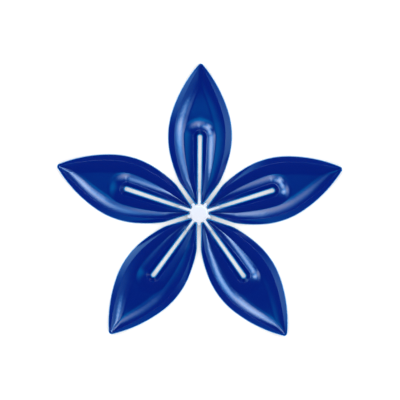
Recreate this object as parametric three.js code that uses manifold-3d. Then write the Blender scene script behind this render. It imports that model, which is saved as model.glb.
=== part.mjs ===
import * as THREE from 'three';
import { mergeVertices } from 'three/addons/utils/BufferGeometryUtils.js';
import Module from 'manifold-3d';

// Coffee flower: a thin glazed ornament with five alike petals round a small white centre.
// Millimetres, +Z up. The underside lies flat at z = 0, the origin is under the centre,
// and the first petal points along +Y. Each petal is open along its middle by a long slot.

const wasm = await Module();
wasm.setup();

const BLUE_GLAZE = { color: 0x0a2f86, roughness: 0.12, metalness: 0 };
const WHITE_GLAZE = { color: 0xe9edf8, roughness: 0.18, metalness: 0 };

const PETALS = 5;

// Half a petal's outline, from its flank beside the gap to the tip, as a chain of
// tangent arcs: length in mm, then the turn in degrees.
const FLANK_START = new THREE.Vector2(4.0, 1.87);
const FLANK_ANGLE = 36.1;
const OUTLINE_ARCS = [
  [9.6, 0],
  [2.7, -11.4],
  [10.4, -10.6],
  [18.3, -30.9],
  [23.1, -23.4],
];
const ARC_STEP = 0.5;

// The slot along the middle of a petal, open towards the centre.
const SLOT_HALF_INNER = 0.7;
const SLOT_HALF_OUTER = 0.82;
const SLOT_END = 32.0;
const FORK_RADIUS = 0.8;

// The relief. One roll, the rim, follows the outline, and another, the lip, follows the
// slot and rounds its end. A bevel climbs from the edge to the crest, and a hollow flank
// runs out to nothing at the end of the span. Slopes are rise over run, and the rest is
// in mm for a full-size roll.
const RIM = {
  bevelStart: 0.94,
  bevelEnd: 0.8,
  crest: 2.63,
  flank: 0.435,
  span: 7.98,
  hollow: 0.57,
};
const LIP = {
  bevelStart: 0.95,
  bevelEnd: 1.0,
  crest: 2.12,
  flank: 0.44,
  span: 7.5,
  hollow: 0.8,
};

// The depth of a roll goes with this power of its size, and two flanks meet in a valley
// that is the sharper the higher the join.
const DEPTH_POWER = 0.37;
const FLANK_JOIN = 8;

// Along a petal, by distance from the origin: the size of its rolls, where 1 is full size,
// and the height of the rim's crest.
const ROLL_SIZES = [
  [3.0, 0.031],
  [9.0, 0.35],
  [13.0, 0.58],
  [17.0, 0.755],
  [22.0, 0.89],
  [30.0, 0.996],
  [38.0, 0.97],
  [46.0, 0.907],
  [52.0, 0.79],
  [57.0, 0.576],
  [62.7, 0.23],
];
const CREST_HEIGHTS = [
  [2.5, 1.78],
  [6.0, 1.97],
  [10.0, 2.2],
  [16.0, 2.53],
  [24.0, 2.74],
  [32.0, 2.89],
  [40.0, 2.91],
  [52.0, 2.86],
  [57.0, 3.01],
  [62.7, 3.19],
];

// Where a section's points lie: distances from the slot and from the outline for a
// full-size roll, with one point midway between and never closer than the least step.
const LIP_POINTS = [0, 0.8, 1.6, 2.12, 2.8, 3.6, 4.9];
const RIM_POINTS = [5.8, 4.4, 3.3, 2.63, 1.8, 0.8, 0];
const FOOT_INSET = 0.25;
const LEAST_STEP = 0.02;

// Cross-sections across each half of a petal: round the fork's end, along the slot,
// then fanned round the slot's far end, closer together on the petal's round tip.
const FORK_STEPS = [22, 48, 71.8];
const SIDE_STEPS = [6.4, 8.4, 10.6, 12.2, 13.6, 16.0, 19.0, 22.2, 25.5, 28.8];
const FAN_STEPS = [90, 76, 62, 50, 40, 31, 23.5, 17.5, 12.5, 8.5, 5.4, 3.3, 1.84, 1.41, 0.74, 0];

// White centre: a low dome, five arms lying in the slots and five short webs in the gaps.
const HUB_PROFILE = [
  [0, 0],
  [3.6, 0],
  [3.85, 0.3],
  [3.85, 1.1],
  [3.75, 1.6],
  [3.55, 2.0],
  [3.25, 2.3],
  [2.85, 2.45],
  [2.0, 2.52],
  [0, 2.55],
];
const HUB_SEGMENTS = 40;
const ARM_START = 2.0;
const ARM_LENGTH = 9.2;
const ARM_HALF = 0.42;
const WEB_LENGTH = 4.6;
const WEB_HALF = 0.45;
const ARM_TOP_AT_CENTRE = 1.9;
const ARM_FALL = 0.07;

const rad = THREE.MathUtils.degToRad;

function direction(degrees) {
  return new THREE.Vector2(Math.cos(rad(degrees)), Math.sin(rad(degrees)));
}

function slotHalf(u) {
  const share = (u - FLANK_START.x) / (SLOT_END - FLANK_START.x);
  return THREE.MathUtils.lerp(SLOT_HALF_INNER, SLOT_HALF_OUTER, share);
}

// The small circle that rounds the end of a fork between its slot and its flank.
function forkCentre() {
  const v = SLOT_HALF_INNER + FORK_RADIUS;
  const rise = v - FLANK_START.y + FORK_RADIUS / Math.cos(rad(FLANK_ANGLE));
  return new THREE.Vector2(FLANK_START.x + rise / Math.tan(rad(FLANK_ANGLE)), v);
}

// Half the outline from the fork's end to the tip.
function halfOutline() {
  const centre = forkCentre();
  const points = [];
  for (let step = 0; step <= 4; step += 1) {
    const angle = 180 + FLANK_ANGLE / 2 - (step / 4) * (90 - FLANK_ANGLE / 2);
    points.push(centre.clone().addScaledVector(direction(angle), FORK_RADIUS));
  }
  const joint = points[points.length - 1];
  const point = FLANK_START.clone();
  let angle = FLANK_ANGLE;
  for (const [length, turn] of OUTLINE_ARCS) {
    const steps = Math.ceil(length / ARC_STEP);
    for (let step = 0; step < steps; step += 1) {
      point.addScaledVector(direction(angle + turn / steps / 2), length / steps);
      angle += turn / steps;
      if (point.x > joint.x + 0.1) {
        points.push(point.clone());
      }
    }
  }
  const tipRadius = point.y / Math.cos(rad(angle));
  const tipCentre = point.x + tipRadius * Math.sin(rad(angle));
  for (let step = 1; step <= 5; step += 1) {
    const normal = direction((90 + angle) * (1 - step / 5));
    points.push(new THREE.Vector2(tipCentre, 0).addScaledVector(normal, tipRadius));
  }
  return points;
}

const outline = halfOutline();

// Where a ray from a point first leaves the half outline.
function rayLength(start, dir) {
  let best = Infinity;
  for (let i = 0; i + 1 < outline.length; i += 1) {
    const a = outline[i];
    const edge = outline[i + 1].clone().sub(a);
    const cross = dir.cross(edge);
    if (Math.abs(cross) < 1e-9) {
      continue;
    }
    const along = a.clone().sub(start).cross(edge) / cross;
    const share = a.clone().sub(start).cross(dir) / cross;
    if (along > 1e-6 && share >= -1e-6 && share <= 1 + 1e-6) {
      best = Math.min(best, along);
    }
  }
  return best;
}

// The distance from a point to the half outline.
function edgeDistance(point) {
  let best = Infinity;
  for (let i = 0; i + 1 < outline.length; i += 1) {
    const edge = outline[i + 1].clone().sub(outline[i]);
    const offset = point.clone().sub(outline[i]);
    const share = THREE.MathUtils.clamp(offset.dot(edge) / edge.lengthSq(), 0, 1);
    best = Math.min(best, offset.addScaledVector(edge, -share).length());
  }
  return best;
}

// A smooth curve through a few points, read at one place.
function smoothCurve(points, at) {
  const last = points.length - 1;
  const x = THREE.MathUtils.clamp(at, points[0][0], points[last][0]);
  let i = 0;
  while (i < last - 1 && points[i + 1][0] < x) {
    i += 1;
  }
  const slope = (j) => {
    const before = points[Math.max(j - 1, 0)];
    const after = points[Math.min(j + 1, last)];
    return (after[1] - before[1]) / (after[0] - before[0]);
  };
  const step = points[i + 1][0] - points[i][0];
  const t = (x - points[i][0]) / step;
  const start = points[i][1] * (1 + 2 * t) + step * slope(i) * t;
  const end = points[i + 1][1] * (3 - 2 * t) - step * slope(i + 1) * (1 - t);
  return start * (1 - t) * (1 - t) + end * t * t;
}

// A roll's height above the valley, with its bevel filled up to the crest.
function flankHeight(roll, distance) {
  const run = roll.span - roll.crest;
  const share = THREE.MathUtils.clamp((distance - roll.crest) / run, 0, 1);
  const top = (roll.flank * run) / (roll.hollow + 1);
  return top * Math.pow(1 - share, roll.hollow + 1);
}

// How far a roll's bevel lies below its filled height.
function bevelDrop(roll, distance) {
  const inner = THREE.MathUtils.clamp(distance, 0, roll.crest);
  const bend = (roll.bevelEnd - roll.bevelStart) / (2 * roll.crest);
  const straight = roll.bevelStart * (roll.crest - inner);
  return straight + bend * (roll.crest * roll.crest - inner * inner);
}

// The height of the relief at a point. Where a petal narrows to its tip its two rims run
// into one, and elsewhere the higher flank wins.
function reliefHeight(point) {
  const size = smoothCurve(ROLL_SIZES, point.x);
  const here = edgeDistance(point) / size;
  const there = edgeDistance(new THREE.Vector2(point.x, -point.y)) / size;
  const close = Math.min(here, there);
  const away = Math.max(here, there);
  const beyond = Math.max(point.x - SLOT_END, 0);
  const radius = Math.hypot(beyond, point.y);
  const fromSlot = beyond > 0 ? radius - SLOT_HALF_OUTER : point.y - slotHalf(point.x);
  const slot = fromSlot / size;
  const rimTop = flankHeight(RIM, 0);
  const rims = flankHeight(RIM, close)
    + flankHeight(RIM, away) * (1 - flankHeight(RIM, close) / rimTop);
  const lips = flankHeight(LIP, slot);
  const flanks = (rims ** FLANK_JOIN + lips ** FLANK_JOIN) ** (1 / FLANK_JOIN);
  const drop = rimTop - flanks + bevelDrop(RIM, close) + bevelDrop(LIP, slot);
  return smoothCurve(CREST_HEIGHTS, point.x) - size ** DEPTH_POWER * drop;
}

// How far along a section a falling measure is still at least this much.
function reach(section, least, measure) {
  let low = 0;
  let high = section.length;
  for (let i = 0; i < 30; i += 1) {
    const middle = (low + high) / 2;
    const holds = measure(section.start.clone().addScaledVector(section.dir, middle)) >= least;
    low = holds ? middle : low;
    high = holds ? high : middle;
  }
  return low;
}

function makeSection(start, end) {
  const dir = end.clone().sub(start);
  const length = dir.length();
  return { start, dir: dir.divideScalar(length), length };
}

function halfSections() {
  const sections = [];
  const centre = forkCentre();
  for (const step of FORK_STEPS) {
    const middle = 180 + FLANK_ANGLE / 2;
    const inner = centre.clone().addScaledVector(direction(middle + step), FORK_RADIUS);
    const outer = centre.clone().addScaledVector(direction(middle - step), FORK_RADIUS);
    sections.push(makeSection(inner, outer));
  }
  for (const u of SIDE_STEPS) {
    const start = new THREE.Vector2(u, slotHalf(u));
    const dir = new THREE.Vector2(0, 1);
    sections.push({ start, dir, length: rayLength(start, dir) });
  }
  for (const angle of FAN_STEPS) {
    const dir = direction(angle);
    const start = new THREE.Vector2(SLOT_END, 0).addScaledVector(dir, SLOT_HALF_OUTER);
    sections.push({ start, dir, length: rayLength(start, dir) });
  }
  return sections;
}

// The places of a section's points, from the slot to the outline, in rising order.
function sectionPlaces(section) {
  const { start, length } = section;
  const sizeAt = (point) => smoothCurve(ROLL_SIZES, point.x);
  const fromEdge = (point) => edgeDistance(point) / sizeAt(point);
  const fromSlot = (point) => -point.distanceTo(start) / sizeAt(point);
  const lip = LIP_POINTS.map((offset) => reach(section, -offset, fromSlot));
  const rim = RIM_POINTS.map((offset) => reach(section, offset, fromEdge));
  const valley = (lip[lip.length - 1] + rim[0]) / 2;
  const places = [...lip, valley, ...rim].sort((a, b) => a - b);
  const last = places.length - 1;
  const step = Math.min(LEAST_STEP, length / last / 2);
  for (let i = 1; i <= last; i += 1) {
    places[i] = Math.max(places[i], places[i - 1] + step);
  }
  places[last] = length;
  for (let i = last - 1; i > 0; i -= 1) {
    places[i] = Math.min(places[i], places[i + 1] - step);
  }
  return places;
}

// The closed cross-section of a petal over one section line, as [along, height] pairs:
// up the slot's wall, over the lip, through the valley, over the rim and down the edge.
function sectionLoop(section) {
  const { start, dir, length } = section;
  const height = (along) => reliefHeight(start.clone().addScaledVector(dir, along));
  const foot = Math.min(FOOT_INSET, length / 4);
  return [
    [0, 0],
    ...sectionPlaces(section).map((along) => [along, height(along)]),
    [length - foot, 0],
  ];
}

// A closed skin over a row of loops that all have the same number of points, with a flat
// cap at each end. Each loop runs anticlockwise when seen from behind, along the row.
function loft(loops, flatLoops) {
  const count = loops[0].length;
  const positions = loops.flat().flatMap((point) => point.toArray());
  const index = [];
  for (let row = 0; row + 1 < loops.length; row += 1) {
    for (let i = 0; i < count; i += 1) {
      const next = (i + 1) % count;
      const a = row * count + i;
      const b = (row + 1) * count + i;
      const c = (row + 1) * count + next;
      const d = row * count + next;
      index.push(a, b, c, a, c, d);
    }
  }
  const addCap = (row, forward) => {
    const flat = flatLoops[row];
    const turn = Math.sign(THREE.ShapeUtils.area(flat)) * (forward ? 1 : -1);
    for (const [i, j, k] of THREE.ShapeUtils.triangulateShape(flat, [])) {
      const area = THREE.ShapeUtils.area([flat[i], flat[j], flat[k]]);
      const corners = Math.sign(area) === turn ? [i, j, k] : [i, k, j];
      index.push(...corners.map((corner) => row * count + corner));
    }
  };
  addCap(0, true);
  addCap(loops.length - 1, false);
  const geometry = new THREE.BufferGeometry();
  geometry.setAttribute('position', new THREE.Float32BufferAttribute(positions, 3));
  geometry.setIndex(index);
  geometry.computeVertexNormals();
  return geometry;
}

// One petal along +X: the sections of one half from fork to tip, then the other half back.
function petalGeometry() {
  const sections = halfSections();
  const flats = sections.map(sectionLoop);
  const order = [];
  for (let i = 0; i < sections.length; i += 1) {
    order.push([i, 1]);
  }
  for (let i = sections.length - 2; i >= 0; i -= 1) {
    order.push([i, -1]);
  }
  const loops = order.map(([i, side]) => {
    const { start, dir } = sections[i];
    return flats[i].map(([along, height]) => {
      const point = start.clone().addScaledVector(dir, along);
      return new THREE.Vector3(point.x, point.y * side, height);
    });
  });
  const flatLoops = order.map(([i]) => flats[i].map(([s, z]) => new THREE.Vector2(s, z)));
  return loft(loops, flatLoops);
}

// An arm of the centre along +X, with a round end and a rounded back.
function armGeometry(length, half) {
  const ends = [
    [ARM_START, 1],
    [length - half, 1],
    [length - half * 0.5, 0.87],
    [length, 0.3],
  ];
  const flatLoops = ends.map(([u, share]) => {
    const top = ARM_TOP_AT_CENTRE - ARM_FALL * u;
    const width = half * share;
    return [
      new THREE.Vector2(-width, 0),
      new THREE.Vector2(-width, top - 0.2),
      new THREE.Vector2(-width * 0.6, top - 0.05),
      new THREE.Vector2(0, top),
      new THREE.Vector2(width * 0.6, top - 0.05),
      new THREE.Vector2(width, top - 0.2),
      new THREE.Vector2(width, 0),
    ];
  });
  const loops = ends.map(([u], row) => flatLoops[row].map((p) => new THREE.Vector3(u, p.x, p.y)));
  return loft(loops, flatLoops);
}

function toSolid(geometry) {
  const plain = geometry.clone();
  plain.deleteAttribute('normal');
  plain.deleteAttribute('uv');
  const merged = mergeVertices(plain);
  return new wasm.Manifold(new wasm.Mesh({
    numProp: 3,
    vertProperties: new Float32Array(merged.attributes.position.array),
    triVerts: new Uint32Array(merged.index.array),
  }));
}

function toGeometry(solid) {
  const mesh = solid.getMesh();
  const geometry = new THREE.BufferGeometry();
  geometry.setAttribute('position', new THREE.BufferAttribute(mesh.vertProperties, 3));
  geometry.setIndex(new THREE.BufferAttribute(mesh.triVerts, 1));
  geometry.computeVertexNormals();
  return geometry;
}

function centreGeometry() {
  const profile = HUB_PROFILE.map(([r, z]) => new THREE.Vector2(r, z));
  const dome = new THREE.LatheGeometry(profile, HUB_SEGMENTS).rotateX(Math.PI / 2);
  let solid = toSolid(dome);
  for (let i = 0; i < PETALS; i += 1) {
    const slotAngle = Math.PI / 2 - (i * 2 * Math.PI) / PETALS;
    const gapAngle = slotAngle - Math.PI / PETALS;
    solid = solid.add(toSolid(armGeometry(ARM_LENGTH, ARM_HALF).rotateZ(slotAngle)));
    solid = solid.add(toSolid(armGeometry(WEB_LENGTH, WEB_HALF).rotateZ(gapAngle)));
  }
  return toGeometry(solid);
}

const flower = new THREE.Group();
flower.name = 'coffee_flower';

const blossom = petalGeometry();
for (let i = 0; i < PETALS; i += 1) {
  const petal = new THREE.Mesh(blossom, new THREE.MeshStandardMaterial(BLUE_GLAZE));
  petal.name = `petal_${i + 1}`;
  petal.rotation.z = Math.PI / 2 - (i * 2 * Math.PI) / PETALS;
  flower.add(petal);
}

const centre = new THREE.Mesh(centreGeometry(), new THREE.MeshStandardMaterial(WHITE_GLAZE));
centre.name = 'white_centre';
flower.add(centre);

export default flower;
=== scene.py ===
"""Coffee flower: a thin glazed ornament with five cobalt petals round a small white centre.

The underside lies on z = 0, the origin is under the middle of the centre, and the first
petal points along +Y. Each petal is one relief: a raised rim follows the outline, a raised
lip follows the open slot, and a valley lies between them. The petals' tables and relief
are in millimetres, and MM turns them to metres when a mesh is made.
"""

import math

import bmesh
import bpy
import numpy as np
from mathutils import Matrix


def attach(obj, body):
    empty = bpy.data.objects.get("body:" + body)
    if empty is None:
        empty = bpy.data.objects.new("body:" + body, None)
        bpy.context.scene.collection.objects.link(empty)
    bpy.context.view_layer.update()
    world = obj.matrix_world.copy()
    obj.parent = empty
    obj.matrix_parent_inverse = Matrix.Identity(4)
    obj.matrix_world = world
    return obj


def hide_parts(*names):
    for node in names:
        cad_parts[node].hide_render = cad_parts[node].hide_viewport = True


bl_info = {
    "name": "Coffee Flower Ornament",
    "version": (1, 0, 0),
    "blender": (4, 5, 0),
    "location": "3D View > Sidebar > Coffee Flower",
    "description": "Builds the glazed petals, the white centre and the stage",
    "category": "Object",
}

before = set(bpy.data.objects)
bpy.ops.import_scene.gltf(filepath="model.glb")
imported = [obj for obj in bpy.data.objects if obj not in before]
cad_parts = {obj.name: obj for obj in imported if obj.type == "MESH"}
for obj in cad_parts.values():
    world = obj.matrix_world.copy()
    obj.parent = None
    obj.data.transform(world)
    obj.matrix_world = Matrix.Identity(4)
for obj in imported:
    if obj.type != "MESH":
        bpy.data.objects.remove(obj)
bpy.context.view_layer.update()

MM = 0.001
PETAL_NODES = [f"petal_{number}" for number in range(1, 6)]
TURN = 2 * math.pi / len(PETAL_NODES)

# Half a petal's outline, from a point in mm on its flank, and the flank's angle in
# degrees, to the tip. It is a chain of tangent arcs: length in mm, then turn in degrees.
FLANK_START = (4.0, 1.87)
FLANK_ANGLE = 36.1
OUTLINE_ARCS = ((9.6, 0), (2.7, -11.4), (10.4, -10.6), (18.3, -30.9), (23.1, -23.4))

# The rolls along a petal's edges: the rim follows the outline, the lip follows the slot
# and rounds its end. A bevel climbs from the edge to the crest, and a hollow flank runs
# out at the end of the span. Slopes are rise over run, and the rest is in mm for a
# full-size roll.
RIM = {"bevel": (0.94, 0.8), "crest": 2.63, "flank": 0.435, "span": 7.98, "hollow": 0.57}
LIP = {"bevel": (0.95, 1.0), "crest": 2.12, "flank": 0.44, "span": 7.5, "hollow": 0.8}

# The depth of a roll goes with this power of its size. Two flanks meet in a valley that
# is the sharper the higher the join.
DEPTH_POWER = 0.37
FLANK_JOIN = 8

# Along a petal, as distance from the origin in mm: the size of its rolls, where 1 is full
# size, and the height of the rim's crest in mm.
ROLL_SIZES = (
    (3.0, 0.031),
    (9.0, 0.35),
    (13.0, 0.58),
    (17.0, 0.755),
    (22.0, 0.89),
    (30.0, 0.996),
    (38.0, 0.97),
    (46.0, 0.907),
    (52.0, 0.79),
    (57.0, 0.576),
    (62.7, 0.23),
)
CREST_HEIGHTS = (
    (2.5, 1.78),
    (6.0, 1.97),
    (10.0, 2.2),
    (16.0, 2.53),
    (24.0, 2.74),
    (32.0, 2.89),
    (40.0, 2.91),
    (52.0, 2.86),
    (57.0, 3.01),
    (62.7, 3.19),
)

# How finely a petal is drawn: the outline's step in mm, the points on its two round ends,
# and the cross-sections round the fork's nose, along the slot and round the slot's end.
TRACE_STEP = 0.1
ROUND_POINTS = 24
FORK_SECTIONS = 10
SLOT_SECTIONS = 96
FAN_SECTIONS = 90
# The first section round the nose, in degrees, and the first along the slot, in mm past
# the middle of the nose. Above 1, the sections of the fan crowd together at the tip.
FIRST_FORK_TURN = 3
FIRST_SLOT_SECTION = 0.35
FAN_CROWDING = 1.3

# Across a section: the places probed to find its points, the points in the valley, the
# gap in mm that keeps two points apart, and the gap from a crest to the points that keep
# it crisp.
PROBES = 240
VALLEY_STEPS = 16
LEAST_STEP = 1e-4
CREST_GAP = 0.04

# A petal's walls, as shares of the edge's height. The outer wall draws in towards its
# foot, by shares of an inset in mm.
SLOT_WALL = (0.0, 0.35, 0.7)
OUTER_WALL = ((0.0, 0.66), (0.15, 0.33), (1.0, 0.0))
FOOT_INSET = 0.25

# The glaze on the walls looks as thick as it does this many mm from an edge. The thin
# line along the outline narrows to half over a stretch of the petal, in mm.
SLOT_WALL_GLAZE = (0.4, 0.4, 0.2)
OUTER_WALL_GLAZE = (0.4, 0.5, 0.5)
NARROWS_FROM = 8
NARROWS_OVER = 8

# Limits for two lines that count as parallel, and for rounding at a line's ends.
PARALLEL = 1e-12
SLACK = 1e-6

# The white centre. The hub's profile is in shares of its radius and height, and a
# section of an arm in shares of its half width and height. A web is a short, wide arm.
HUB_PROFILE = (
    (0.93, 0.0),
    (1.0, 0.12),
    (1.0, 0.46),
    (0.98, 0.66),
    (0.92, 0.83),
    (0.83, 0.94),
    (0.72, 0.985),
    (0.5, 1.0),
)
HUB_SEGMENTS = 96
ARM = {"half": 0.62 * MM, "top_in": 2.42 * MM, "top_out": 1.2 * MM}
WEB = {"half": 0.85 * MM, "top_in": 2.4 * MM, "top_out": 1.5 * MM}
ARM_SECTION = ((-1, 0), (-1, 0.88), (-0.55, 0.98), (0, 1.0), (0.55, 0.98), (1, 0.88), (1, 0))
ARM_ROWS = 14
ARM_END_LEAST = 0.02
# Hub, arms and webs are fused at this voxel size, and smoothing rounds where they meet.
# A mesh with fewer vertices than the least has come out empty.
FUSE_VOXEL = 0.09 * MM
FILLET_PASSES = 14
FEWEST_VERTICES = 100

# The soft lights round the flower: name, azimuth and tilt of the middle, half width and
# half height as seen from the flower, all in degrees, brightness, and colour. The power
# is in watts for each square metre of a light of brightness 1.
LIGHT_DISTANCE = 2.5
LIGHT_POWER = 4
LAMP = (0.88, 1.0, 1.15)
DAYLIGHT = (0.4, 1.0, 1.4)
BLUE_SKY = (0.0, 1.0, 1.9)
SOFTBOX_RIM = (0.0, 0.8, 1.8)
SOFT_LIGHTS = (
    ("key_right", 355, 36, 10, 11, 8.6, LAMP),
    ("key_right_glow", 4, 25, 12, 16, 3.9, LAMP),
    ("key_mid", 22, 37, 16, 10, 6.0, LAMP),
    ("key_upper_right", 51, 36, 25, 10, 7.2, LAMP),
    ("key_upper_glow", 52, 28, 8.6, 13, 6.9, LAMP),
    ("key_top", 101, 29, 24, 17, 4.1, LAMP),
    ("key_top_core", 96, 36, 5.6, 11.7, 3.7, LAMP),
    ("overhead", 91, 13, 15.3, 15.4, 2.0, BLUE_SKY),
    ("window", 138, 88, 36, 34, 2.0, DAYLIGHT),
    ("side_card", 4, 69, 45, 50, 1.45, DAYLIGHT),
    ("front", 273, 88, 45, 43.5, 0.5, BLUE_SKY),
    ("left_glow", 172, 27, 17.7, 21.8, 1.3, BLUE_SKY),
)

# The room's light as the floor and the flower's matt colours get it, and the dim blue
# room that shows in the gloss.
ROOM_LIGHT = (1.0, 0.985, 0.96, 1.0)
ROOM_IN_GLOSS = (0.1, 0.7, 1.5, 1.0)
ROOM_IN_GLOSS_STRENGTH = 0.06
# The floor lies this far below the underside, so that no two faces share a plane.
FLOOR_DROP = 0.02 * MM

# The camera looks straight down from a little off the middle, slightly turned. One pixel
# shows this much of the ground.
CAMERA_PLACE = (0.276 * MM, 5.584 * MM, 3.0)
CAMERA_TURN = 0.6
SENSOR_WIDTH = 36
PICTURE_WIDTH = 400
PIXEL_ON_GROUND = 0.418 * MM


def linear(hex_colour):
    """A linear RGBA colour from an sRGB hex value such as "#0a2f86"."""
    values = [int(hex_colour[i : i + 2], 16) / 255 for i in (1, 3, 5)]
    return tuple(
        v / 12.92 if v <= 0.04045 else ((v + 0.055) / 1.055) ** 2.4 for v in values
    ) + (1.0,)


class PetalSettings(bpy.types.PropertyGroup):
    """Sizes and colours of the blue petals."""

    slot_half_inner: bpy.props.FloatProperty(
        name="Slot Half Width at Centre",
        description="Half the slot's width where it meets the white centre",
        default=0.56 * MM,
        unit="LENGTH",
    )
    slot_half_outer: bpy.props.FloatProperty(
        name="Slot Half Width at End",
        description="Half the slot's width, and its end's radius, in mid petal",
        default=0.80 * MM,
        unit="LENGTH",
    )
    slot_end: bpy.props.FloatProperty(
        name="Slot End",
        description="Distance from the origin to the centre of the slot's round end",
        default=32.0 * MM,
        unit="LENGTH",
    )
    fork_radius: bpy.props.FloatProperty(
        name="Fork Radius",
        description="Rounding of the small blue points beside the white centre",
        default=0.8 * MM,
        unit="LENGTH",
    )
    relief: bpy.props.FloatProperty(
        name="Relief",
        description="Depth of the relief below the rim's crest, where 1 is its true depth",
        default=1.0,
        min=0.2,
        max=1.2,
    )
    deep_glaze: bpy.props.FloatVectorProperty(
        name="Deep Glaze",
        description="Colour where the glaze has pooled",
        default=linear("#001568"),
        size=4,
        min=0,
        max=1,
        subtype="COLOR",
    )
    thin_glaze: bpy.props.FloatVectorProperty(
        name="Thin Glaze",
        description="Colour where the glaze has drawn thin over an edge",
        default=linear("#2795d8"),
        size=4,
        min=0,
        max=1,
        subtype="COLOR",
    )


class CentreSettings(bpy.types.PropertyGroup):
    """Sizes and colours of the white centre."""

    radius: bpy.props.FloatProperty(
        name="Radius",
        description="Radius of the hub at its widest",
        default=3.95 * MM,
        unit="LENGTH",
    )
    height: bpy.props.FloatProperty(
        name="Height",
        description="Height of the hub's flat top above the underside",
        default=2.45 * MM,
        unit="LENGTH",
    )
    arm_length: bpy.props.FloatProperty(
        name="Arm Length",
        description="Reach of the arms that lie in the petals' slots",
        default=9.2 * MM,
        unit="LENGTH",
    )
    web_length: bpy.props.FloatProperty(
        name="Web Length",
        description="Reach of the short webs between the petals",
        default=5.2 * MM,
        unit="LENGTH",
    )
    white: bpy.props.FloatVectorProperty(
        name="White Glaze",
        description="Colour of the white glaze",
        default=linear("#c2c7d3"),
        size=4,
        min=0,
        max=1,
        subtype="COLOR",
    )


class StageSettings(bpy.types.PropertyGroup):
    """Floor, lights and camera."""

    floor_size: bpy.props.FloatProperty(
        name="Floor Size", description="Side of the floor", default=6.0, unit="LENGTH"
    )
    room_low: bpy.props.FloatProperty(
        name="Room Light Low",
        description="Brightness of the soft light that comes in level with the floor",
        default=3.2,
        min=0,
    )
    room_high: bpy.props.FloatProperty(
        name="Room Light High",
        description="Brightness of the soft light from straight overhead",
        default=0.8,
        min=0,
    )


def add_node(tree, kind, inputs=(), **settings):
    """Adds a node, sets its fields, and sets or links its inputs by name or number."""
    node = tree.nodes.new(kind)
    for field, value in settings.items():
        setattr(node, field, value)
    for socket, value in dict(inputs).items():
        if isinstance(value, bpy.types.NodeSocket):
            tree.links.new(value, node.inputs[socket])
        else:
            node.inputs[socket].default_value = value
    return node


def new_material(name):
    """An empty material, and its node tree."""
    material = bpy.data.materials.new(name)
    material.use_nodes = True
    material.node_tree.nodes.clear()
    return material, material.node_tree


def fired_skin(tree, wave, strength):
    """The faint orange peel of fired glaze, 0.02 mm deep, as a normal. The wave is its
    real length."""
    place = add_node(tree, "ShaderNodeTexCoord").outputs["Object"]
    peel = add_node(
        tree,
        "ShaderNodeTexNoise",
        {"Vector": place, "Scale": 1 / wave, "Detail": 2.0, "Roughness": 0.5},
    ).outputs["Fac"]
    return add_node(
        tree, "ShaderNodeBump", {"Height": peel, "Strength": strength, "Distance": 0.02 * MM}
    ).outputs["Normal"]


def glaze(tree, colour, roughness, normal):
    """Ends a material as glass over a coloured ground, which is what a glaze is."""
    shader = add_node(
        tree,
        "ShaderNodeBsdfPrincipled",
        {"Base Color": colour, "Roughness": roughness, "IOR": 1.52, "Normal": normal},
    )
    add_node(tree, "ShaderNodeOutputMaterial", {"Surface": shader.outputs["BSDF"]})


def cobalt_glaze(settings):
    """Gloss cobalt glaze, dipped and fired over a pale body. It pools to a deep navy in
    the valleys, draws thin to a brighter blue on the edges, and its fired skin has a
    faint orange peel that softens the rims of reflections."""
    material, tree = new_material("cobalt_glaze_fired")
    edge = add_node(tree, "ShaderNodeAttribute", attribute_name="edge_mm").outputs["Fac"]
    # The glaze is thin up to 0.1 mm from an edge, and has its full depth from 0.55 mm on.
    thin = add_node(
        tree,
        "ShaderNodeMapRange",
        {"Value": edge, "From Min": 0.1, "From Max": 0.55, "To Min": 1.0, "To Max": 0.0},
        interpolation_type="SMOOTHSTEP",
    ).outputs["Result"]
    colour = add_node(
        tree,
        "ShaderNodeMix",
        {"Factor": thin, 6: settings.deep_glaze, 7: settings.thin_glaze},
        data_type="RGBA",
    ).outputs[2]
    glaze(tree, colour, 0.1, fired_skin(tree, wave=1.1 * MM, strength=0.6))
    return material


def white_glaze(settings):
    """Clear gloss glaze over a fired white body: a cool white with a soft sheen."""
    material, tree = new_material("white_glaze_fired")
    glaze(tree, settings.white, 0.15, fired_skin(tree, wave=1.2 * MM, strength=0.2))
    return material


def floor_paint():
    """Matt white board: an even pale ground with no gloss, and a fine grain in its tone
    of 0.9 grains to the millimetre."""
    material, tree = new_material("matt_white_board")
    place = add_node(tree, "ShaderNodeTexCoord").outputs["Object"]
    grain = add_node(
        tree, "ShaderNodeTexNoise", {"Vector": place, "Scale": 0.9 / MM, "Detail": 1.0}
    ).outputs["Fac"]
    tone = add_node(
        tree,
        "ShaderNodeMapRange",
        {"Value": grain, "To Min": 0.84, "To Max": 0.88},
    ).outputs["Result"]
    shader = add_node(tree, "ShaderNodeBsdfDiffuse", {"Color": tone})
    add_node(tree, "ShaderNodeOutputMaterial", {"Surface": shader.outputs["BSDF"]})
    return material


def unit(degrees):
    """A unit vector at an angle, or a row of them at a row of angles."""
    turns = np.radians(degrees)
    return np.stack([np.cos(turns), np.sin(turns)], axis=-1)


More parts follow.
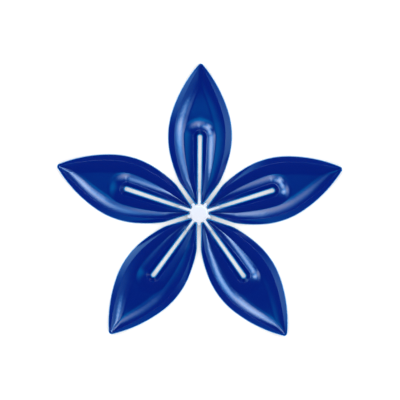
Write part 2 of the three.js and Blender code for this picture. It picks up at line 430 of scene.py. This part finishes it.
class Outline:
    """Half of a petal's outline in mm, from the fork's nose to the tip, along +X."""

    def __init__(self, settings):
        self.slot_inner = settings.slot_half_inner / MM
        self.slot_outer = settings.slot_half_outer / MM
        self.slot_end = settings.slot_end / MM
        self.fork = settings.fork_radius / MM
        angle = math.radians(FLANK_ANGLE)
        v = self.slot_inner + self.fork
        rise = v - FLANK_START[1] + self.fork / math.cos(angle)
        self.fork_centre = np.array([FLANK_START[0] + rise / math.tan(angle), v])
        self.nose_turn = 180 + FLANK_ANGLE / 2
        self.points = self.trace()

    def trace(self):
        """The outline as a fine row of points."""
        nose_turns = np.linspace(self.nose_turn, 90 + FLANK_ANGLE, ROUND_POINTS)
        nose = self.fork_centre + self.fork * unit(nose_turns)
        points = list(nose)
        point, angle = np.array(FLANK_START), FLANK_ANGLE
        for length, turn in OUTLINE_ARCS:
            steps = round(length / TRACE_STEP)
            for step in range(steps):
                way = unit(angle + turn * (step + 0.5) / steps)
                point = point + way * length / steps
                if point[0] > nose[-1][0] + TRACE_STEP / 2:
                    points.append(point)
            angle += turn
        tip_radius = point[1] / math.cos(math.radians(angle))
        tip_centre = point[0] + tip_radius * math.sin(math.radians(angle))
        tip_turns = (90 + angle) * (1 - np.arange(1, ROUND_POINTS + 1) / ROUND_POINTS)
        tip = np.array([tip_centre, 0.0]) + tip_radius * unit(tip_turns)
        return np.array(points + list(tip))

    def distance(self, places, mirrored=False):
        """Distance in mm from each place to this half, or to its mirror image."""
        places = places * np.array([1.0, -1.0 if mirrored else 1.0])
        best = np.full(len(places), np.inf)
        starts, edges = self.points[:-1], np.diff(self.points, axis=0)
        for start, edge in zip(starts, edges):
            offset = places - start
            share = np.clip(offset @ edge / (edge @ edge), 0, 1)
            gap = offset - share[:, None] * edge
            best = np.minimum(best, (gap * gap).sum(axis=1))
        return np.sqrt(best)

    def slot_half(self, u):
        """Half the slot's width at a distance from the origin."""
        share = (u - FLANK_START[0]) / (self.slot_end - FLANK_START[0])
        return self.slot_inner + (self.slot_outer - self.slot_inner) * share

    def leave(self, start, way):
        """Where a ray from a point inside leaves the half outline."""
        edges = np.diff(self.points, axis=0)
        offsets = self.points[:-1] - start
        cross = way[0] * edges[:, 1] - way[1] * edges[:, 0]
        cross = np.where(np.abs(cross) < PARALLEL, PARALLEL, cross)
        along = (offsets[:, 0] * edges[:, 1] - offsets[:, 1] * edges[:, 0]) / cross
        share = (offsets[:, 0] * way[1] - offsets[:, 1] * way[0]) / cross
        on_edge = (share >= -SLACK) & (share <= 1 + SLACK)
        return float(along[(along > SLACK) & on_edge].min())

    def sections(self):
        """Start points, ways and lengths of the cross-sections of one half."""
        rows = []
        for turn in np.linspace(FIRST_FORK_TURN, 90 - FLANK_ANGLE / 2, FORK_SECTIONS):
            turns = [self.nose_turn + turn, self.nose_turn - turn]
            first, last = self.fork_centre + self.fork * unit(turns)
            span = last - first
            length = float(np.hypot(*span))
            rows.append((first, span / length, length))
        inner = self.fork_centre[0] + FIRST_SLOT_SECTION
        for u in np.linspace(inner, self.slot_end, SLOT_SECTIONS)[:-1]:
            start, way = np.array([u, self.slot_half(u)]), np.array([0.0, 1.0])
            rows.append((start, way, self.leave(start, way)))
        for share in np.linspace(0, 1, FAN_SECTIONS):
            way = unit(90 * (1 - share) ** FAN_CROWDING)
            start = np.array([self.slot_end, 0.0]) + self.slot_outer * way
            rows.append((start, way, self.leave(start, way)))
        return rows


def smooth_curve(points, at):
    """A smooth curve through a few points, read at the given places."""
    x, y = np.array(points, dtype=float).T
    slopes = np.gradient(y, x)
    at = np.clip(at, x[0], x[-1])
    i = np.clip(np.searchsorted(x, at) - 1, 0, len(x) - 2)
    step = x[i + 1] - x[i]
    t = (at - x[i]) / step
    return (
        y[i] * (1 + 2 * t) * (1 - t) ** 2
        + y[i + 1] * t * t * (3 - 2 * t)
        + step * (slopes[i] * t * (1 - t) ** 2 - slopes[i + 1] * t * t * (1 - t))
    )


class Roll:
    """One roll, by distance from its edge in mm."""

    def __init__(self, bevel, crest, flank, span, hollow):
        self.bevel_slopes, self.crest, self.hollow = bevel, crest, hollow
        self.run = span - crest
        self.top = flank * self.run / (hollow + 1)

    def flank(self, distance):
        """Height above the valley, with the bevel filled up to the crest."""
        share = np.clip((distance - self.crest) / self.run, 0, 1)
        return self.top * (1 - share) ** (self.hollow + 1)

    def bevel(self, distance):
        """How far the bevel lies below the filled height, as a negative number."""
        inner = np.clip(distance, 0, self.crest)
        start, end = self.bevel_slopes
        bend = (end - start) * (self.crest**2 - inner**2) / (2 * self.crest)
        return -start * (self.crest - inner) - bend


def relief_height(shape, places, near, far, depth):
    """Height in mm at each place, from its distances to both half outlines. Where a petal
    narrows to its tip its two rims run into one, and elsewhere the higher flank wins."""
    rim, lip = Roll(**RIM), Roll(**LIP)
    u, v = places.T
    size = smooth_curve(ROLL_SIZES, u)
    beyond = np.clip(u - shape.slot_end, 0, None)
    past_end = np.hypot(beyond, v) - shape.slot_outer
    slot = np.where(beyond > 0, past_end, np.abs(v) - shape.slot_half(u)) / size
    close, away = np.minimum(near, far) / size, np.maximum(near, far) / size
    rims = rim.flank(close) + rim.flank(away) * (1 - rim.flank(close) / rim.top)
    flanks = (rims**FLANK_JOIN + lip.flank(slot) ** FLANK_JOIN) ** (1 / FLANK_JOIN)
    drop = flanks - rim.top + rim.bevel(close) + lip.bevel(slot)
    return smooth_curve(CREST_HEIGHTS, u) + depth * size**DEPTH_POWER * drop


def roll_steps(edge, rest, crest):
    """Where a section's points lie on a full-size roll, in mm: at its edge, evenly over
    the rest, and close to both sides of its crest."""
    return np.sort(np.r_[edge, np.linspace(*rest), crest - CREST_GAP, crest + CREST_GAP])


LIP_STEPS = roll_steps((0, 0.12, 0.3), (0.55, 6.2, 30), LIP["crest"])
RIM_STEPS = roll_steps((0, 0.1, 0.25), (0.5, 6.6, 34), RIM["crest"])[::-1]


def petal_section(shape, start, way, length, depth):
    """One closed cross-section as a row of points in mm, and for each of them the distance
    from an edge that the glaze's thickness goes by."""
    along = np.linspace(0, length, PROBES)
    probes = start + along[:, None] * way
    size = smooth_curve(ROLL_SIZES, probes[:, 0])
    near = np.minimum.accumulate(shape.distance(probes))
    lip_at = np.interp(LIP_STEPS, along / size, along)
    rim_at = np.interp(-RIM_STEPS, -np.minimum.accumulate(near / size), along)
    middle = np.linspace(lip_at[-1], rim_at[0], VALLEY_STEPS + 2)[1:-1]
    steps = np.maximum.accumulate(np.r_[lip_at, middle, rim_at])
    steps = np.minimum(steps + np.arange(len(steps)) * LEAST_STEP, length)
    points = start + steps[:, None] * way
    points[-1] = start + length * way
    near = shape.distance(points)
    far = shape.distance(points, mirrored=True)
    near[-1] = 0
    height = relief_height(shape, points, near, far, depth)
    foot = min(FOOT_INSET, length / 4)
    loop = [(*start, height[0] * share) for share in SLOT_WALL]
    loop += [(*place, z) for place, z in zip(points, height)]
    for inset, share in OUTER_WALL:
        loop.append((*(points[-1] - way * foot * inset), height[-1] * share))
    narrow = 1 + np.clip((points[:, 0] - NARROWS_FROM) / NARROWS_OVER, 0, 1)
    edge = np.minimum(steps, near * narrow)
    return loop, np.r_[SLOT_WALL_GLAZE, edge, OUTER_WALL_GLAZE]


def petal_mesh(name, settings):
    """One petal along +X, in metres, as a closed skin of quads."""
    shape = Outline(settings)
    half = [petal_section(shape, *row, settings.relief) for row in shape.sections()]
    loops, edges = (np.array(rows) for rows in zip(*half))
    # The other half is a mirror image, and the two share the section at the tip.
    loops = np.concatenate([loops, loops[-2::-1] * np.array([1.0, -1.0, 1.0])])
    edges = np.concatenate([edges, edges[-2::-1]])
    rows, count = loops.shape[:2]
    faces = []
    for row in range(rows - 1):
        for i in range(count):
            nxt = (i + 1) % count
            a, b = row * count, (row + 1) * count
            faces.append((a + i, b + i, b + nxt, a + nxt))
    faces.append(tuple(range(count)))
    faces.append(tuple(range(rows * count - 1, (rows - 1) * count - 1, -1)))
    mesh = bpy.data.meshes.new(name)
    mesh.from_pydata((loops.reshape(-1, 3) * MM).tolist(), [], faces)
    layer = mesh.attributes.new("edge_mm", "FLOAT", "POINT")
    layer.data.foreach_set("value", edges.ravel().astype(np.float32))
    return mesh


def show(mesh, name, material, replaced):
    """Puts a finished mesh in the scene, riding on the root body."""
    piece = bpy.data.objects.new(name, mesh)
    bpy.context.scene.collection.objects.link(piece)
    mesh.materials.append(material)
    for face in mesh.polygons:
        face.use_smooth = True
    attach(piece, "root")
    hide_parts(replaced)
    return piece


class FLOWER_OT_petals(bpy.types.Operator):
    """Builds the five glazed petals"""

    bl_idname = "flower.petals"
    bl_label = "Build Petals"

    def execute(self, context):
        settings = context.scene.flower_petals
        material = cobalt_glaze(settings)
        base = petal_mesh("blossom", settings)
        for number, node in enumerate(PETAL_NODES):
            mesh = base.copy()
            mesh.name = node
            mesh.transform(Matrix.Rotation(math.pi / 2 - number * TURN, 4, "Z"))
            show(mesh, f"glazed_{node}", material, node)
        bpy.data.meshes.remove(base)
        return {"FINISHED"}


def arm_rows(length, turn, half, top_in, top_out):
    """Corner rows of a round-ended arm from the axis outwards, in metres."""
    rows = []
    for share in np.linspace(0, 1, ARM_ROWS):
        u = length * (1 - (1 - share) ** 2)
        near_end = max(0.0, (u - (length - half)) / half)
        width = half * math.sqrt(max(ARM_END_LEAST, 1 - near_end**2))
        top = top_in + (top_out - top_in) * u / length
        rows.append([(u, width * side, top * z) for side, z in ARM_SECTION])
    x, y, z = np.moveaxis(np.array(rows), -1, 0)
    c, s = math.cos(turn), math.sin(turn)
    return np.stack([x * c - y * s, x * s + y * c, z], axis=-1)


def add_skin(mesh, rows):
    """Adds a closed skin over rows of points to a bmesh."""
    verts = [[mesh.verts.new(point) for point in row] for row in rows]
    count = len(verts[0])
    for low, high in zip(verts, verts[1:]):
        for i in range(count):
            nxt = (i + 1) % count
            mesh.faces.new((low[i], high[i], high[nxt], low[nxt]))
    mesh.faces.new(verts[0])
    mesh.faces.new(list(reversed(verts[-1])))


def fused(context, build):
    """The overlapping skins of a bmesh as one closed mesh with small fillets."""
    rough = bpy.data.meshes.new("rough_centre")
    build.to_mesh(rough)
    blank = bpy.data.objects.new("rough_centre", rough)
    context.scene.collection.objects.link(blank)
    remesh = blank.modifiers.new("fuse", "REMESH")
    remesh.mode = "VOXEL"
    remesh.voxel_size = FUSE_VOXEL
    smooth = blank.modifiers.new("fillet", "SMOOTH")
    smooth.factor = 0.5
    smooth.iterations = FILLET_PASSES
    depsgraph = context.evaluated_depsgraph_get()
    mesh = bpy.data.meshes.new_from_object(blank.evaluated_get(depsgraph))
    bpy.data.objects.remove(blank)
    bpy.data.meshes.remove(rough)
    if len(mesh.vertices) < FEWEST_VERTICES:
        raise RuntimeError("the white centre came out empty")
    return mesh


class FLOWER_OT_centre(bpy.types.Operator):
    """Builds the white centre with its arms and webs"""

    bl_idname = "flower.centre"
    bl_label = "Build White Centre"

    def execute(self, context):
        settings = context.scene.flower_centre
        build = bmesh.new()
        turns = np.linspace(0, 2 * math.pi, HUB_SEGMENTS, endpoint=False)
        circle = np.c_[np.cos(turns), np.sin(turns), np.ones(HUB_SEGMENTS)]
        rings = []
        for r, z in HUB_PROFILE:
            reach = r * settings.radius
            rings.append(circle * np.array([reach, reach, z * settings.height]))
        add_skin(build, rings)
        for number in range(len(PETAL_NODES)):
            turn = math.pi / 2 - number * TURN
            add_skin(build, arm_rows(settings.arm_length, turn, **ARM))
            add_skin(build, arm_rows(settings.web_length, turn + TURN / 2, **WEB))
        bmesh.ops.recalc_face_normals(build, faces=build.faces)
        mesh = fused(context, build)
        build.free()
        mesh.name = "white_centre"
        show(mesh, "glazed_centre", white_glaze(settings), "white_centre")
        return {"FINISHED"}


def soft_light(name, azimuth, tilt, along, across, radiance, colour):
    """A softbox, seen only in gloss, that fades from its middle to its rim. The azimuth
    runs anticlockwise from +X and the tilt down from the zenith."""
    light = bpy.data.lights.new(name, "AREA")
    light.shape = "RECTANGLE"
    light.size = 2 * LIGHT_DISTANCE * math.tan(math.radians(along))
    light.size_y = 2 * LIGHT_DISTANCE * math.tan(math.radians(across))
    light.energy = LIGHT_POWER * radiance * light.size * light.size_y
    light.use_nodes = True
    tree = light.node_tree
    tree.nodes.clear()
    spot = add_node(tree, "ShaderNodeNewGeometry").outputs["Parametric"]
    middle = add_node(
        tree, "ShaderNodeVectorMath", {0: spot, 1: (0.5, 0.5, 0.0)}, operation="SUBTRACT"
    ).outputs[0]
    flat = add_node(
        tree, "ShaderNodeVectorMath", {0: middle, 1: (2.0, 2.0, 0.0)}, operation="MULTIPLY"
    ).outputs[0]
    reach = add_node(tree, "ShaderNodeVectorMath", {0: flat}, operation="LENGTH")
    fade = add_node(
        tree,
        "ShaderNodeMapRange",
        {"Value": reach.outputs["Value"], "To Min": 1.0, "To Max": 0.0},
        interpolation_type="SMOOTHSTEP",
    ).outputs["Result"]
    # A softbox is bluer towards its rim.
    tone = add_node(
        tree,
        "ShaderNodeMix",
        {"Factor": fade, 6: (*SOFTBOX_RIM, 1.0), 7: (*colour, 1.0)},
        data_type="RGBA",
    ).outputs[2]
    glow = add_node(tree, "ShaderNodeEmission", {"Color": tone, "Strength": fade})
    add_node(tree, "ShaderNodeOutputLight", {"Surface": glow.outputs["Emission"]})
    lamp = bpy.data.objects.new(name, light)
    az, down = math.radians(azimuth), math.radians(tilt)
    lamp.location = (
        LIGHT_DISTANCE * math.sin(down) * math.cos(az),
        LIGHT_DISTANCE * math.sin(down) * math.sin(az),
        LIGHT_DISTANCE * math.cos(down),
    )
    lamp.rotation_euler = (down, 0, az + math.pi / 2)
    lamp.visible_diffuse = False
    lamp.visible_camera = False
    bpy.context.scene.collection.objects.link(lamp)
    return lamp


def lay_floor(scene, size):
    """A plain pale floor under the flower, which its gloss doesn't mirror."""
    half = size / 2
    corners = [(-half, -half), (half, -half), (half, half), (-half, half)]
    mesh = bpy.data.meshes.new("floor")
    mesh.from_pydata([(x, y, -FLOOR_DROP) for x, y in corners], [], [(0, 1, 2, 3)])
    mesh.materials.append(floor_paint())
    floor = bpy.data.objects.new("floor", mesh)
    scene.collection.objects.link(floor)
    floor.visible_glossy = False


def light_room(scene, low, high):
    """Soft light from all round, brighter level with the floor than from overhead. The
    gloss shows a dim blue room instead."""
    world = bpy.data.worlds.new("studio")
    scene.world = world
    world.use_nodes = True
    tree = world.node_tree
    tree.nodes.clear()
    path = add_node(tree, "ShaderNodeLightPath")
    dim = add_node(
        tree,
        "ShaderNodeBackground",
        {"Color": ROOM_IN_GLOSS, "Strength": ROOM_IN_GLOSS_STRENGTH},
    )
    way = add_node(tree, "ShaderNodeTexCoord").outputs["Generated"]
    rise = add_node(tree, "ShaderNodeSeparateXYZ", {"Vector": way}).outputs["Z"]
    strength = add_node(
        tree, "ShaderNodeMapRange", {"Value": rise, "To Min": low, "To Max": high}
    ).outputs["Result"]
    room = add_node(
        tree, "ShaderNodeBackground", {"Color": ROOM_LIGHT, "Strength": strength}
    )
    mixed = add_node(
        tree,
        "ShaderNodeMixShader",
        {
            0: path.outputs["Is Glossy Ray"],
            1: room.outputs["Background"],
            2: dim.outputs["Background"],
        },
    )
    add_node(tree, "ShaderNodeOutputWorld", {"Surface": mixed.outputs["Shader"]})


def place_camera(scene):
    """A camera that looks straight down on the flower."""
    camera = bpy.data.cameras.new("camera")
    camera.sensor_width = SENSOR_WIDTH
    picture = PICTURE_WIDTH * PIXEL_ON_GROUND
    camera.lens = SENSOR_WIDTH * CAMERA_PLACE[2] / picture
    camera.clip_start = 0.01
    camera.clip_end = 50
    eye = bpy.data.objects.new("camera", camera)
    eye.location = CAMERA_PLACE
    eye.rotation_euler = (0, 0, math.radians(CAMERA_TURN))
    scene.collection.objects.link(eye)
    scene.camera = eye


class FLOWER_OT_stage(bpy.types.Operator):
    """Lays the floor and sets the lights and the camera"""

    bl_idname = "flower.stage"
    bl_label = "Set Stage"

    def execute(self, context):
        settings = context.scene.flower_stage
        scene = context.scene
        lay_floor(scene, settings.floor_size)
        for light in SOFT_LIGHTS:
            soft_light(*light)
        light_room(scene, settings.room_low, settings.room_high)
        place_camera(scene)
        scene.view_settings.view_transform = "Standard"
        return {"FINISHED"}


class FLOWER_PT_panel(bpy.types.Panel):
    """Lists the flower's pieces and their settings"""

    bl_idname = "FLOWER_PT_panel"
    bl_label = "Coffee Flower"
    bl_space_type = "VIEW_3D"
    bl_region_type = "UI"
    bl_category = "Coffee Flower"

    def draw(self, context):
        for name, operator in GROUPS:
            box = self.layout.box()
            settings = getattr(context.scene, name)
            for field in settings.bl_rna.properties:
                if field.identifier not in {"rna_type", "name"}:
                    box.prop(settings, field.identifier)
            box.operator(operator)


GROUPS = (
    ("flower_petals", "flower.petals"),
    ("flower_centre", "flower.centre"),
    ("flower_stage", "flower.stage"),
)
CLASSES = (
    PetalSettings,
    CentreSettings,
    StageSettings,
    FLOWER_OT_petals,
    FLOWER_OT_centre,
    FLOWER_OT_stage,
    FLOWER_PT_panel,
)


def register():
    for cls in CLASSES:
        bpy.utils.register_class(cls)
    for (name, _), group in zip(GROUPS, CLASSES):
        setattr(bpy.types.Scene, name, bpy.props.PointerProperty(type=group))


def unregister():
    for name, _ in GROUPS:
        delattr(bpy.types.Scene, name)
    for cls in reversed(CLASSES):
        bpy.utils.unregister_class(cls)


def main():
    register()
    bpy.ops.flower.petals()
    bpy.ops.flower.centre()
    bpy.ops.flower.stage()


if __name__ == "__main__":
    main()
